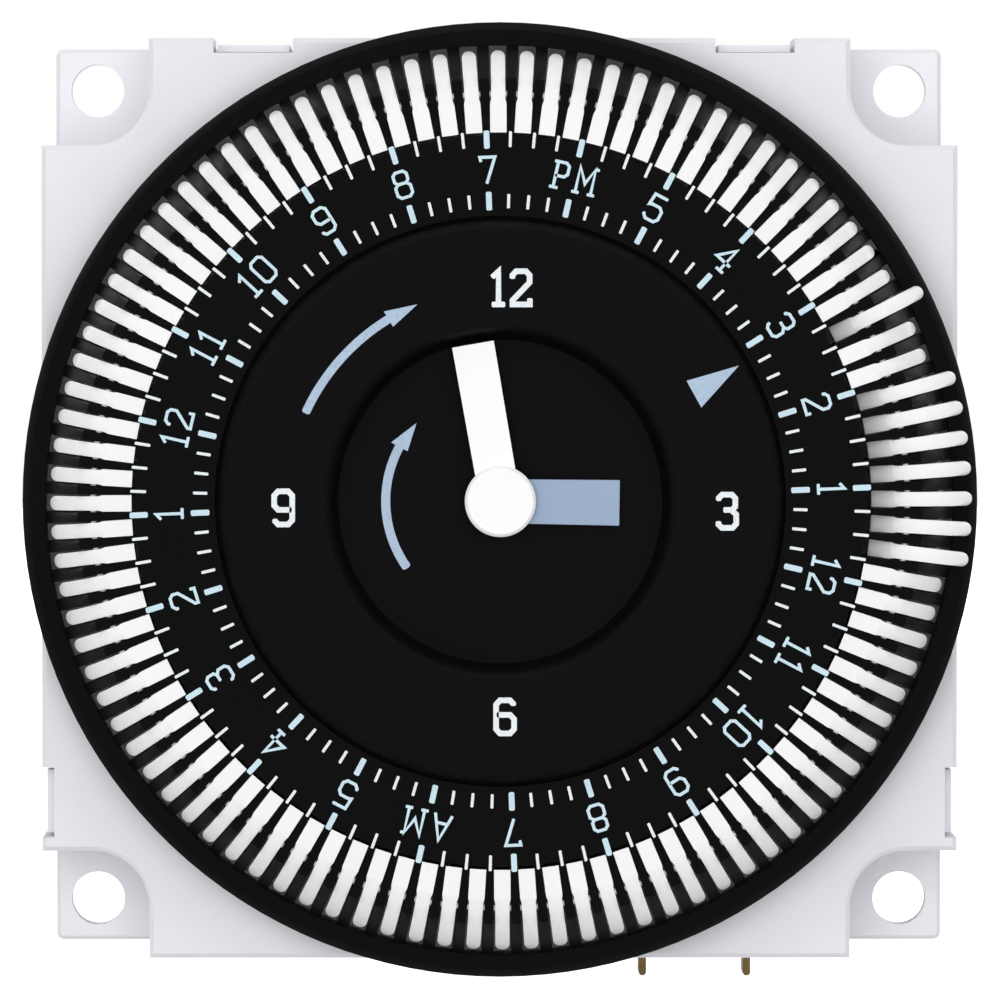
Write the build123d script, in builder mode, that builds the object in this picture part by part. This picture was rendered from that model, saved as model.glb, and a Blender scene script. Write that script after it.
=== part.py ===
"""A 24 hour programmable timer: a 60 mm panel module with a tappet dial and a small clock.

Frame: the back of the case is the plane y = 0, the front looks along -Y, 12 is up (+Z), and
the dial turns about the Y axis. Heights are measured from the back towards the front, and
"h" is a height above the front face of the case. Angles named "turn" run clockwise from 12.
"""

import math
import os

from build123d import *

os.makedirs("parts", exist_ok=True)

# ---------------------------------------------------------------- driving dimensions (mm, degrees)
CASE_WIDTH = 59.8
CASE_HEIGHT = 60.1
CASE_FACE = 27.0  # front face of the case above its back
WALL = 1.8
FLANGE_BACK = 12.5
FLANGE_FRONT = 15.0
FLANGE_WIDTH = 58.6
FLANGE_HEIGHT = 59.0
BOX_WIDTH = 56.0
BOX_TOP = 28.0
BOX_BOTTOM = -22.5
BOX_RECESS = 5.8  # cut from the box's top corners, behind the ears
EAR_POCKET = 7.0
EAR_POCKET_RADIUS = 3.7
EAR_HOLE_SPACING = (53.1, 53.5)
EAR_HOLE_RADIUS = 1.75

HOOK_TOP_X = (-16.1, 16.7)
HOOK_TOP_WIDTH = 4.7
HOOK_SIDE_Z = -19.9
HOOK_SIDE_WIDTH = 4.1
HOOK_OUTER = 29.65
HOOK_INNER = 29.17
NOTCH_FLOOR = 29.1
NOTCH_MARGIN = 0.25

TERMINAL_PITCH = 6.95
TERMINAL_X = [-4.28 + index * TERMINAL_PITCH for index in range(4)]
TERMINAL_TIP = -32.2
MOTOR_TERMINAL_TIP = -31.3
TERMINAL_BACK = 5.0
TERMINAL_WIDTH = 4.8
TERMINAL_THICK = 0.5

DIAL_RADIUS = 31.0
TURRET_RADIUS = 17.0
TURRET_BORE = 15.4
TURRET_HEIGHT = 9.0
DIAL_BORE = 17.08
FACE_PLATE_RADIUS = 18.15
NUMBER_RING_INNER = 18.4
NUMBER_RING_HEIGHT = 9.7
DIAL_FOOT = 0.6
RIB_TOP = 9.45
RIB_BOTTOM = 3.6
RIM_TOP = 5.2
RIM_INNER = 29.55

TAPPETS = 96
TAPPET_PIVOT_RADIUS = 26.3
TAPPET_PIVOT_HEIGHT = 9.0
TAPPET_SWING = 41.0
TAPPET_WIDTH = 1.06
TAPPET_TAIL_WIDTH = 0.92
SLOT_WIDTH = 1.14
SLOT_START = 23.6
SLOT_END = 29.5
MIDNIGHT_TURN = 282.83
SINGLE_HOURS = [12 + quarter / 4 for quarter in range(12)]
PUSHED_OUT = (12.25, 12.5, 12.75, 13.0, 13.25, 13.5, 13.75, 14.5)

PRESSURE_ANGLE = 25.0
ADDENDUM = 0.8
DEDENDUM = 1.05
BACKLASH = 0.12
FINE = 0.2
MEDIUM = 0.25
COARSE = 0.35

LEVER_PIVOT = (21.0, 2.0)
NOSE_RADIUS_ON_DIAL = 27.9
NOSE_TURN = 55.5
LEVER_DROP = 5.8

MINUTE_HAND_TURN = 350.1
HOUR_HAND_TURN = 90.8

SECTION = Plane(origin=(0, 0, 0), x_dir=(1, 0, 0), z_dir=(0, 0, -1))
FRONT = Plane.XZ


def level(height):
    """A plane that looks to the front, at a height above the back."""
    return FRONT.offset(height)


def above(h):
    """A plane that looks to the front, at a height above the case's front face."""
    return FRONT.offset(CASE_FACE + h)


def clock(radius, turn):
    """The (x, z) place at a radius and a clockwise turn from 12."""
    angle = math.radians(turn)
    return (radius * math.sin(angle), radius * math.cos(angle))


def save(builder, name):
    builder.part.label = name
    export_step(builder.part, f"parts/{name}.step")


# ---------------------------------------------------------------- gear teeth
def involute(radius, base):
    angle = math.acos(min(1.0, base / radius))
    return math.tan(angle) - angle


def tooth_points(teeth, module, phase=0.0, internal=False):
    """The outline of a spur gear, or of the hole of an internal one, with a tooth at phase."""
    pitch = module * teeth / 2
    base = pitch * math.cos(math.radians(PRESSURE_ANGLE))
    low, high = (ADDENDUM, DEDENDUM) if internal else (DEDENDUM, ADDENDUM)
    inner, outer = pitch - low * module, pitch + high * module
    slack = BACKLASH * module / (2 * pitch) * (1 if internal else -1)
    half = math.pi / (2 * teeth) + slack + involute(pitch, base)
    start = max(inner, base)
    flank = [start + (outer - start) * step / 3 for step in range(4)]
    if inner < base:
        flank.insert(0, inner)
    points = []
    for tooth in range(teeth):
        centre = math.radians(phase) + 2 * math.pi * tooth / teeth
        for side, radii in ((-1, flank), (1, reversed(flank))):
            for radius in radii:
                angle = centre + side * (half - involute(max(radius, base), base))
                points.append((radius * math.cos(angle), radius * math.sin(angle)))
    return points


def meshed(phase, teeth, other_teeth, direction):
    """The phase that lets a second gear, seen in a direction from the first, mesh with it."""
    return direction + 180 - 180 / other_teeth + (direction - phase) * teeth / other_teeth


def bearing_to(here, there):
    return math.degrees(math.atan2(there[1] - here[1], there[0] - here[0]))


# ---------------------------------------------------------------- where the arbors stand
MINUTE_TEETH, HOUR_TEETH, CANNON_TEETH, CHANGE_TEETH = 48, 45, 12, 15
DRIVE_TEETH, DIAL_PINION_TEETH, DIAL_RING_TEETH = 36, 13, 104
CENTRE_TEETH, REDUCTION_TEETH, THIRD_PINION_TEETH, PINION_TEETH = 64, 60, 10, 8

centre_to_minute = MEDIUM * (CANNON_TEETH + MINUTE_TEETH) / 2
minute_to_drive = MEDIUM * (MINUTE_TEETH + DRIVE_TEETH) / 2
centre_to_drive = COARSE * (DIAL_RING_TEETH - DIAL_PINION_TEETH) / 2
DRIVE_TURN = 225.0
corner = (centre_to_minute**2 + centre_to_drive**2 - minute_to_drive**2) / (
    2 * centre_to_minute * centre_to_drive
)
MINUTE_TURN = DRIVE_TURN - math.degrees(math.acos(corner))

CENTRE = (0.0, 0.0)
MINUTE_WHEEL_AT = clock(centre_to_minute, MINUTE_TURN)
DRIVE_WHEEL_AT = clock(centre_to_drive, DRIVE_TURN)

THIRD_AT = clock(MEDIUM * (CENTRE_TEETH + THIRD_PINION_TEETH) / 2, 270.0)
reduction_step = FINE * (REDUCTION_TEETH + PINION_TEETH) / 2
second_offset = clock(reduction_step, 330.0)
SECOND_AT = (THIRD_AT[0] + second_offset[0], THIRD_AT[1] + second_offset[1])
ROTOR_AT = (SECOND_AT[0], SECOND_AT[1] + reduction_step)

ARBOR = 0.5
ARBOR_HOLE = 0.55
THIN_ARBOR = 0.4
THIN_HOLE = 0.45
MINUTE_ARBOR = 0.9
MINUTE_HOLE = 0.96

TRAIN_PLATE = (20.8, 22.0)  # back and front heights
MOVEMENT_PLATE = (13.0, 14.2)
PILLARS = ((4.0, 14.5), (4.0, -14.5), (-22.0, -14.5), (-23.0, 4.0))
SCREW = 0.7
SCREW_HOLE = 0.75
BRIDGE_BOSSES = [clock(12.4, turn) for turn in (20, 140, 260)]
WINDOW_RADIUS = 3.2
WINDOW_TOP = 3.4
BOARD = (5.0, 6.6)
BOARD_POSTS = ((-20.0, 16.0), (4.0, 16.0), (-20.0, -12.0), (4.0, -12.0))

nose_rest = clock(NOSE_RADIUS_ON_DIAL, NOSE_TURN)
nose_arm = (nose_rest[0] - LEVER_PIVOT[0], nose_rest[1] - LEVER_PIVOT[1])
drop = math.radians(LEVER_DROP)
nose_dropped = (
    LEVER_PIVOT[0] + nose_arm[0] * math.cos(drop) + nose_arm[1] * math.sin(drop),
    LEVER_PIVOT[1] - nose_arm[0] * math.sin(drop) + nose_arm[1] * math.cos(drop),
)


# ---------------------------------------------------------------- case
def cover_outline():
    """The square front with a square pocket at each corner, rounded on its inner corner."""
    Rectangle(CASE_WIDTH, CASE_HEIGHT)
    with GridLocations(CASE_WIDTH - EAR_POCKET, CASE_HEIGHT - EAR_POCKET, 2, 2):
        Rectangle(EAR_POCKET, EAR_POCKET, mode=Mode.SUBTRACT)


def inner_corners(sketch):
    """The corners where the pockets meet, nearest to the middle."""
    inner = CASE_WIDTH / 2 - EAR_POCKET + 0.1
    return sketch.vertices().filter_by(lambda v: abs(v.X) < inner and abs(v.Y) < inner + 0.2)


def hook_places():
    """Each snap hook as (x, z, direction outward, width)."""
    for x in HOOK_TOP_X:
        yield x, 0.0, (0, 1), HOOK_TOP_WIDTH
    for side in (-1, 1):
        yield 0.0, HOOK_SIDE_Z, (side, 0), HOOK_SIDE_WIDTH


def strip(place, inner, outer, extra=0.0):
    """A rectangle across a hook, from an inner to an outer distance from the dial's axis."""
    x, z, (out_x, out_z), width = place
    middle, depth = (inner + outer) / 2, outer - inner
    size = (width + extra, depth) if out_z else (depth, width + extra)
    with Locations((x + out_x * middle, z + out_z * middle)):
        Rectangle(*size)


def box_outline(inset):
    """The box behind the flange, or its hollow, with its top corners cut back behind the ears."""
    width, height = BOX_WIDTH - 2 * inset, BOX_TOP - BOX_BOTTOM - 2 * inset
    recess_x = (width - BOX_RECESS) / 2
    recess_z = BOX_TOP - inset - BOX_RECESS / 2
    with Locations((0, (BOX_TOP + BOX_BOTTOM) / 2)):
        RectangleRounded(width, height, 2.2 - inset / 2)
    with Locations((-recess_x, recess_z), (recess_x, recess_z)):
        Rectangle(BOX_RECESS, BOX_RECESS, mode=Mode.SUBTRACT)


HOOK_TIP = 24.0
BARB = (21.9, 23.1)
BARB_DEPTH = 0.5

with BuildPart() as rear_housing:
    with BuildSketch(level(0)):
        box_outline(0)
    extrude(amount=FLANGE_BACK)
    chamfer(rear_housing.faces().sort_by(Axis.Y)[-1].edges(), 0.5)
    with BuildSketch(level(FLANGE_BACK)):
        RectangleRounded(FLANGE_WIDTH, FLANGE_HEIGHT, 0.5)
    extrude(amount=FLANGE_FRONT - FLANGE_BACK)
    chamfer(rear_housing.faces().sort_by(Axis.Y)[0].edges(), 0.25)
    with BuildSketch(level(FLANGE_BACK)):
        for place in hook_places():
            strip(place, 26.5, HOOK_OUTER)
    extrude(amount=FLANGE_FRONT - FLANGE_BACK)
    with BuildSketch(level(WALL)):
        box_outline(WALL)
    extrude(amount=FLANGE_FRONT - WALL, mode=Mode.SUBTRACT)
    for place in hook_places():
        with BuildSketch(level(FLANGE_FRONT)):
            strip(place, HOOK_INNER, HOOK_OUTER)
        extrude(amount=HOOK_TIP - FLANGE_FRONT)
        with BuildSketch(level(BARB[0])):
            strip(place, HOOK_INNER - BARB_DEPTH, HOOK_OUTER)
        extrude(amount=BARB[1] - BARB[0])
    with BuildSketch(level(FLANGE_BACK)):
        with GridLocations(*EAR_HOLE_SPACING, 2, 2):
            Circle(EAR_HOLE_RADIUS)
    extrude(amount=FLANGE_FRONT - FLANGE_BACK, mode=Mode.SUBTRACT)
    with BuildSketch(level(WALL)):
        with Locations(*BOARD_POSTS):
            Circle(1.8)
    extrude(amount=BOARD[0] - WALL)
    with BuildSketch(level(WALL)):
        with Locations(*BOARD_POSTS):
            Circle(SCREW_HOLE)
    extrude(amount=BOARD[0] - WALL, mode=Mode.SUBTRACT)
    with BuildSketch(Plane.XY.offset(BOX_BOTTOM)):
        with Locations(*[(x, -(TERMINAL_BACK + TERMINAL_WIDTH / 2)) for x in TERMINAL_X]):
            Rectangle(TERMINAL_THICK, TERMINAL_WIDTH)
    extrude(amount=WALL, mode=Mode.SUBTRACT)
save(rear_housing, "rear_housing")

with BuildPart() as front_cover:
    with BuildSketch(level(FLANGE_FRONT)) as cover_sketch:
        cover_outline()
        fillet(inner_corners(cover_sketch), EAR_POCKET_RADIUS)
    extrude(amount=CASE_FACE - FLANGE_FRONT)
    chamfer(front_cover.faces().sort_by(Axis.Y)[0].edges(), 0.3)
    with BuildSketch(level(FLANGE_FRONT)) as hollow_sketch:
        cover_outline()
        fillet(inner_corners(hollow_sketch), EAR_POCKET_RADIUS)
        offset(amount=-WALL, mode=Mode.REPLACE, kind=Kind.INTERSECTION)
    extrude(amount=CASE_FACE - FLANGE_FRONT - WALL, mode=Mode.SUBTRACT)
    # the turret that carries the dial, and the bosses inside it
    with BuildSketch(above(0)):
        Circle(TURRET_RADIUS)
        Circle(TURRET_BORE, mode=Mode.SUBTRACT)
    extrude(amount=TURRET_HEIGHT)
    with BuildSketch(above(0)):
        with Locations(*BRIDGE_BOSSES):
            Circle(1.6)
    extrude(amount=6.0)
    with BuildSketch(above(WINDOW_TOP)):
        with Locations(clock(15.0, DRIVE_TURN)):
            Circle(1.6)
    extrude(amount=2.0)
    # the posts that the plates of the movement hang from
    with BuildSketch(level(TRAIN_PLATE[1])):
        with Locations(*PILLARS):
            Circle(1.6)
    extrude(amount=CASE_FACE - WALL - TRAIN_PLATE[1])
    with BuildSketch(level(TRAIN_PLATE[1])):
        with Locations(*PILLARS):
            Circle(SCREW_HOLE)
    extrude(amount=3.0, mode=Mode.SUBTRACT)
    with BuildSketch(above(2.0)):
        with Locations(*BRIDGE_BOSSES):
            Circle(SCREW_HOLE)
    extrude(amount=4.0, mode=Mode.SUBTRACT)
    # openings for the arbors, the dial's pinion, the follower's nose and the lever's pin
    with BuildSketch(above(-WALL)):
        Circle(1.3)
        with Locations(MINUTE_WHEEL_AT):
            Circle(2.4)
    extrude(amount=WALL, mode=Mode.SUBTRACT)
    with BuildSketch(above(-WALL)):
        with Locations(DRIVE_WHEEL_AT):
            Circle(WINDOW_RADIUS)
    extrude(amount=WALL + WINDOW_TOP, mode=Mode.SUBTRACT)
    with BuildSketch(above(WINDOW_TOP)):
        with Locations(DRIVE_WHEEL_AT):
            Circle(ARBOR_HOLE)
    extrude(amount=2.0, mode=Mode.SUBTRACT)
    with BuildSketch(above(-WALL)):
        with Locations(nose_rest, nose_dropped):
            Circle(0.75)
        make_hull()
    extrude(amount=WALL, mode=Mode.SUBTRACT)
    with BuildSketch(above(-WALL)):
        with Locations(LEVER_PIVOT):
            Circle(SCREW_HOLE)
    extrude(amount=1.0, mode=Mode.SUBTRACT)
    # the notches and windows for the rear housing's hooks
    for place in hook_places():
        with BuildSketch(level(FLANGE_FRONT)):
            strip(place, NOTCH_FLOOR, CASE_WIDTH / 2 + 1, extra=2 * NOTCH_MARGIN)
        extrude(amount=CASE_FACE - FLANGE_FRONT, mode=Mode.SUBTRACT)
        with BuildSketch(level(BARB[0] - 0.2)):
            strip(place, CASE_WIDTH / 2 - WALL - 0.3, NOTCH_FLOOR + 0.1, extra=0.3)
        extrude(amount=BARB[1] - BARB[0] + 0.4, mode=Mode.SUBTRACT)
save(front_cover, "front_cover")


# ---------------------------------------------------------------- dial
FIRST_TAPPET_TURN = MIDNIGHT_TURN - 15 * 0.125

with BuildPart() as slotted_disc:
    with BuildSketch(SECTION):
        with BuildLine():
            Polyline(
                *[
                    (radius, CASE_FACE + h)
                    for radius, h in (
                        (DIAL_BORE, 2.8),
                        (DIAL_BORE, 8.9),
                        (NUMBER_RING_INNER, 8.9),
                        (NUMBER_RING_INNER, NUMBER_RING_HEIGHT),
                        (24.3, NUMBER_RING_HEIGHT),
                        (24.9, RIB_TOP),
                        (27.3, RIB_TOP),
                        (RIM_INNER, RIM_TOP),
                        (DIAL_RADIUS - 0.5, RIM_TOP),
                        (DIAL_RADIUS, RIM_TOP - 0.5),
                        (DIAL_RADIUS, DIAL_FOOT),
                        (RIM_INNER, DIAL_FOOT),
                        (RIM_INNER, RIB_BOTTOM),
                        (23.5, RIB_BOTTOM),
                        (23.5, DIAL_FOOT),
                        (22.1, DIAL_FOOT),
                        (22.1, 8.2),
                        (NUMBER_RING_INNER, 8.2),
                        (NUMBER_RING_INNER, 2.8),
                    )
                ],
                close=True,
            )
        make_face()
    revolve(axis=Axis.Y)
    slot_middle = (SLOT_START + SLOT_END) / 2
    with BuildSketch(above(RIB_BOTTOM)):
        with PolarLocations(slot_middle, TAPPETS, start_angle=90 - FIRST_TAPPET_TURN):
            Rectangle(SLOT_END - SLOT_START, SLOT_WIDTH)
    extrude(amount=NUMBER_RING_HEIGHT - RIB_BOTTOM + 1, mode=Mode.SUBTRACT)

TAPPET_RING = 0.2  # radius of the wire that the tappets turn on
TAPPET_BORE = 0.23
RING_CHANNEL = 0.22


def round_channel(radius):
    """The section of the wire ring, or of its channel, as it is revolved round the dial's axis."""
    with BuildSketch(SECTION) as section:
        with Locations((TAPPET_PIVOT_RADIUS, CASE_FACE + TAPPET_PIVOT_HEIGHT)):
            Circle(radius)
    return section.sketch


with BuildPart() as programme_dial:
    add(slotted_disc.part)
    revolve(round_channel(RING_CHANNEL), axis=Axis.Y, mode=Mode.SUBTRACT)
    # the channel is open to the back, where the ring and its tappets go in
    with BuildSketch(above(RIB_BOTTOM)) as mouth:
        Circle(TAPPET_PIVOT_RADIUS + RING_CHANNEL)
        Circle(TAPPET_PIVOT_RADIUS - RING_CHANNEL, mode=Mode.SUBTRACT)
    extrude(mouth.sketch, amount=TAPPET_PIVOT_HEIGHT - RIB_BOTTOM, mode=Mode.SUBTRACT)
save(programme_dial, "programme_dial")

with BuildPart() as tappet_ring:
    revolve(round_channel(TAPPET_RING), axis=Axis.Y)
save(tappet_ring, "tappet_ring")

PINION_PHASE = 0.0
RING_GEAR_BACK = 1.0
RING_GEAR_FRONT = 2.8
RING_GEAR_RADIUS = 20.4

with BuildPart() as dial_gear_ring:
    towards = bearing_to(CENTRE, DRIVE_WHEEL_AT)
    ring_phase = towards - (towards - PINION_PHASE) * DIAL_PINION_TEETH / DIAL_RING_TEETH
    with BuildSketch(above(RING_GEAR_BACK)):
        Circle(RING_GEAR_RADIUS)
        points = tooth_points(DIAL_RING_TEETH, COARSE, ring_phase, internal=True)
        Polygon(*points, align=None, mode=Mode.SUBTRACT)
    extrude(amount=RING_GEAR_FRONT - RING_GEAR_BACK)
    with BuildSketch(above(RING_GEAR_FRONT)):
        Circle(RING_GEAR_RADIUS)
        Circle(NUMBER_RING_INNER + 0.03, mode=Mode.SUBTRACT)
    extrude(amount=1.6)
save(dial_gear_ring, "dial_gear_ring")

with BuildPart() as centre_plate:
    with BuildSketch(SECTION):
        with BuildLine():
            Polyline(
                *[
                    (radius, CASE_FACE + h)
                    for radius, h in (
                        (1.75, 7.5),
                        (1.75, 8.7),
                        (10.45, 8.7),
                        (11.15, 10.35),
                        (11.4, 10.5),
                        (FACE_PLATE_RADIUS - 0.5, 10.5),
                        (FACE_PLATE_RADIUS, 10.0),
                        (FACE_PLATE_RADIUS, TURRET_HEIGHT),
                        (15.3, TURRET_HEIGHT),
                        (15.3, 7.6),
                        (14.0, 7.6),
                        (14.0, TURRET_HEIGHT),
                        (12.6, TURRET_HEIGHT),
                        (11.4, 7.5),
                    )
                ],
                close=True,
            )
        make_face()
    revolve(axis=Axis.Y)
save(centre_plate, "centre_plate")


# ---------------------------------------------------------------- tappets
HEAD_END = -0.62  # places along a tappet, from its pivot outward
TAIL_START = -0.32
TAIL_END = 2.86
TAIL_END_TILTED = 4.2


def tappet_outline(end):
    """A tappet from the front: its tail is a little narrower than its head, and its end is round."""
    head, tail = TAPPET_WIDTH / 2, TAPPET_TAIL_WIDTH / 2
    with BuildLine() as outline:
        Polyline((HEAD_END, head), (-7, head), (-7, -head), (HEAD_END, -head))
        Polyline((HEAD_END, -head), (TAIL_START, -tail), (end - tail, -tail))
        ThreePointArc((end - tail, -tail), (end, 0), (end - tail, tail))
        Polyline((end - tail, tail), (TAIL_START, tail), (HEAD_END, head))
    make_face(outline.edges())


def tappet_shape():
    """One rocker in its pushed-in place: x along the dial's radius, z to the front."""
    tip, heel = (2.82, -2.8), (2.06, -3.26)
    foot, foot_back = (-1.61, -6.1), (-2.4, -6.2)
    with BuildPart() as rocker:
        with BuildSketch(Plane.XZ):
            with BuildLine():
                Polyline(foot_back, (-0.9, -0.9), (-2.42, -0.25), (-2.5, 0.63), (HEAD_END, 0.63))
                Spline((HEAD_END, 0.63), (1.32, -0.16), (2.3, -1.3), tip)
                ThreePointArc(tip, (2.6, -3.36), heel)
                Polyline(heel, (0.75, -1.45), foot)
                ThreePointArc(foot, (-2.0, -6.6), foot_back)
            make_face()
        extrude(amount=TAPPET_WIDTH / 2, both=True)
        with BuildSketch(Plane.XY) as pushed_in_view:
            tappet_outline(TAIL_END)
        extrude(pushed_in_view.sketch, amount=8, both=True, mode=Mode.INTERSECT)
        # the end is round in the front view when the tappet is pushed out, too
        tilt = math.radians(TAPPET_SWING)
        tail = TAPPET_TAIL_WIDTH / 2
        tilted = Plane(
            origin=(0, 0, 0),
            x_dir=(math.cos(tilt), 0, -math.sin(tilt)),
            z_dir=(math.sin(tilt), 0, math.cos(tilt)),
        )
        with BuildSketch(tilted) as corners:
            with Locations((TAIL_END_TILTED, 0)):
                Rectangle(2 * tail, 2)
            with Locations((TAIL_END_TILTED - tail, 0)):
                Circle(tail, mode=Mode.SUBTRACT)
        extrude(corners.sketch, amount=8, both=True, mode=Mode.SUBTRACT)
        Cylinder(TAPPET_BORE, 3, rotation=(90, 0, 0), mode=Mode.SUBTRACT)
    return rocker.part


pushed_in = tappet_shape().moved(
    Location((TAPPET_PIVOT_RADIUS, 0, CASE_FACE + TAPPET_PIVOT_HEIGHT))
)
pushed_out = tappet_shape().moved(Location((0, 0, 0), (0, -TAPPET_SWING, 0))).moved(
    Location((TAPPET_PIVOT_RADIUS, 0, CASE_FACE + TAPPET_PIVOT_HEIGHT))
)


def tappet_direction(hour):
    """The counterclockwise angle, from +X, of the tappet that starts at an hour."""
    return 90 - (MIDNIGHT_TURN - 15 * (hour + 0.125))


for hour in SINGLE_HOURS:
    with BuildPart(FRONT) as single:
        with Locations(Location((0, 0, 0), (0, 0, tappet_direction(hour)))):
            add(pushed_out if hour in PUSHED_OUT else pushed_in)
    clock_name = f"{int(hour):02d}_{round(hour % 1 * 60):02d}"
    save(single, f"tappet_{clock_name}")

for first in (0, 3, 6, 9, 15, 18, 21):
    with BuildPart(FRONT) as sector:
        start = tappet_direction(first)
        with PolarLocations(0, 12, start_angle=start, angular_range=45):
            add(pushed_in)
    save(sector, f"tappets_{first:02d}_to_{first + 3:02d}")


# ---------------------------------------------------------------- plain shapes for the movement
def disc(back, front, radius, *places):
    """Round pieces between two heights above the back."""
    with BuildSketch(level(back)) as outline:
        with Locations(*(places or (CENTRE,))):
            Circle(radius)
    extrude(outline.sketch, amount=front - back)


def bore(back, front, radius, *places):
    with BuildSketch(level(back)) as outline:
        with Locations(*(places or (CENTRE,))):
            Circle(radius)
    extrude(outline.sketch, amount=front - back, mode=Mode.SUBTRACT)


def wheel(back, front, teeth, module, phase, at=CENTRE):
    with BuildSketch(level(back)) as outline:
        with Locations(at):
            Polygon(*tooth_points(teeth, module, phase), align=None)
    extrude(outline.sketch, amount=front - back)


def block(back, front, left, right, bottom, top, corner=0.0):
    """A box between two heights, with its corners rounded in the front view if asked."""
    with BuildSketch(level(back)) as outline:
        with Locations(((left + right) / 2, (bottom + top) / 2)):
            Rectangle(right - left, top - bottom)
        if corner:
            fillet(outline.vertices(), corner)
    extrude(outline.sketch, amount=front - back)


def arm(back, front, here, here_radius, there, there_radius):
    """A tapering arm between two round ends."""
    with BuildSketch(level(back)) as outline:
        with Locations(here):
            Circle(here_radius)
        with Locations(there):
            Circle(there_radius)
        make_hull()
    extrude(outline.sketch, amount=front - back)


def hand(back, front, hub, length, root_width, tip_width, turn):
    """A flat hand, a little wider at its tip, turned to its place."""
    with BuildSketch(level(back)) as outline:
        with Locations(Location((0, 0, 0), (0, 0, -turn))):
            Polygon(
                (-root_width / 2, 0),
                (root_width / 2, 0),
                (tip_width / 2, length),
                (-tip_width / 2, length),
                align=None,
            )
        Circle(hub)
    extrude(outline.sketch, amount=front - back)


# ---------------------------------------------------------------- hands, arbors and wheels
FACE = CASE_FACE
HOUR_PIPE = 1.6
WHEEL_LAYER = (FACE - 3.4, FACE - 2.2)
PINION_LAYER = (FACE - 3.6, FACE - 2.0)
HOUR_LAYER = (FACE + 4.0, FACE + 5.2)
CHANGE_LAYER = (FACE + 3.8, FACE + 5.4)
BRIDGE = (FACE + 6.0, FACE + 7.0)
ARBOR_BACK = TRAIN_PLATE[0] + 0.1

minute_phase = meshed(
    0.0, CANNON_TEETH, MINUTE_TEETH, bearing_to(CENTRE, MINUTE_WHEEL_AT)
)
hour_phase = meshed(0.0, CHANGE_TEETH, HOUR_TEETH, bearing_to(MINUTE_WHEEL_AT, CENTRE))
drive_phase = meshed(
    minute_phase, MINUTE_TEETH, DRIVE_TEETH, bearing_to(MINUTE_WHEEL_AT, DRIVE_WHEEL_AT)
)
third_pinion_phase = meshed(
    0.0, CENTRE_TEETH, THIRD_PINION_TEETH, bearing_to(CENTRE, THIRD_AT)
)
second_pinion_phase = meshed(
    0.0, REDUCTION_TEETH, PINION_TEETH, bearing_to(THIRD_AT, SECOND_AT)
)
rotor_pinion_phase = meshed(
    0.0, REDUCTION_TEETH, PINION_TEETH, bearing_to(SECOND_AT, ROTOR_AT)
)

with BuildPart() as hour_hand:
    hand(FACE + 8.95, FACE + 9.25, 2.15, 7.7, 2.85, 2.96, HOUR_HAND_TURN)
    bore(FACE + 8.95, FACE + 9.25, HOUR_PIPE)
save(hour_hand, "hour_hand")

with BuildPart() as minute_hand:
    hand(FACE + 9.45, FACE + 9.8, 2.3, 10.3, 2.6, 2.73, MINUTE_HAND_TURN)
    bore(FACE + 9.45, FACE + 9.8, MINUTE_ARBOR)
    disc(FACE + 9.8, FACE + 10.2, 2.3)
    chamfer(minute_hand.faces().sort_by(Axis.Y)[0].edges(), 0.2)
save(minute_hand, "minute_hand")

with BuildPart() as minute_arbor:
    disc(MOVEMENT_PLATE[0] + 0.2, FACE + 9.8, MINUTE_ARBOR)
save(minute_arbor, "minute_arbor")

with BuildPart() as cannon_pinion:
    wheel(*PINION_LAYER, CANNON_TEETH, MEDIUM, 0.0)
    bore(*PINION_LAYER, MINUTE_ARBOR)
save(cannon_pinion, "cannon_pinion")

with BuildPart() as hour_wheel:
    wheel(*HOUR_LAYER, HOUR_TEETH, MEDIUM, hour_phase)
    disc(FACE + 3.0, FACE + 9.25, HOUR_PIPE)
    bore(FACE + 3.0, FACE + 9.25, MINUTE_ARBOR + 0.08)
save(hour_wheel, "hour_wheel")

with BuildPart() as minute_wheel:
    disc(ARBOR_BACK, BRIDGE[1] - 0.1, ARBOR, MINUTE_WHEEL_AT)
    wheel(*WHEEL_LAYER, MINUTE_TEETH, MEDIUM, minute_phase, MINUTE_WHEEL_AT)
    wheel(*CHANGE_LAYER, CHANGE_TEETH, MEDIUM, 0.0, MINUTE_WHEEL_AT)
    disc(WHEEL_LAYER[1], WHEEL_LAYER[1] + 1.2, 1.4, MINUTE_WHEEL_AT)
save(minute_wheel, "minute_wheel")

with BuildPart() as dial_drive_wheel:
    disc(ARBOR_BACK, FACE + WINDOW_TOP + 1.6, ARBOR, DRIVE_WHEEL_AT)
    wheel(*WHEEL_LAYER, DRIVE_TEETH, MEDIUM, drive_phase, DRIVE_WHEEL_AT)
    wheel(FACE + 0.8, FACE + 2.6, DIAL_PINION_TEETH, COARSE, PINION_PHASE, DRIVE_WHEEL_AT)
    disc(WHEEL_LAYER[1], FACE + 0.8, 1.4, DRIVE_WHEEL_AT)
save(dial_drive_wheel, "dial_drive_wheel")

CENTRE_LAYER = (17.5, 18.5)
with BuildPart() as centre_wheel:
    wheel(*CENTRE_LAYER, CENTRE_TEETH, MEDIUM, 0.0)
    disc(CENTRE_LAYER[0] - 0.8, CENTRE_LAYER[0], 1.8)
    bore(CENTRE_LAYER[0] - 0.8, CENTRE_LAYER[1], MINUTE_HOLE)
save(centre_wheel, "centre_wheel")

with BuildPart() as clutch_spring:
    with BuildSketch(level(CENTRE_LAYER[1] + 0.1)):
        Circle(1.8)
        with PolarLocations(3.0, 3):
            Rectangle(4.0, 0.9)
    extrude(amount=0.25)
    disc(CENTRE_LAYER[1] + 0.35, CENTRE_LAYER[1] + 1.1, 1.5)
    bore(CENTRE_LAYER[1] + 0.1, CENTRE_LAYER[1] + 1.1, MINUTE_ARBOR)
save(clutch_spring, "clutch_spring")

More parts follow.
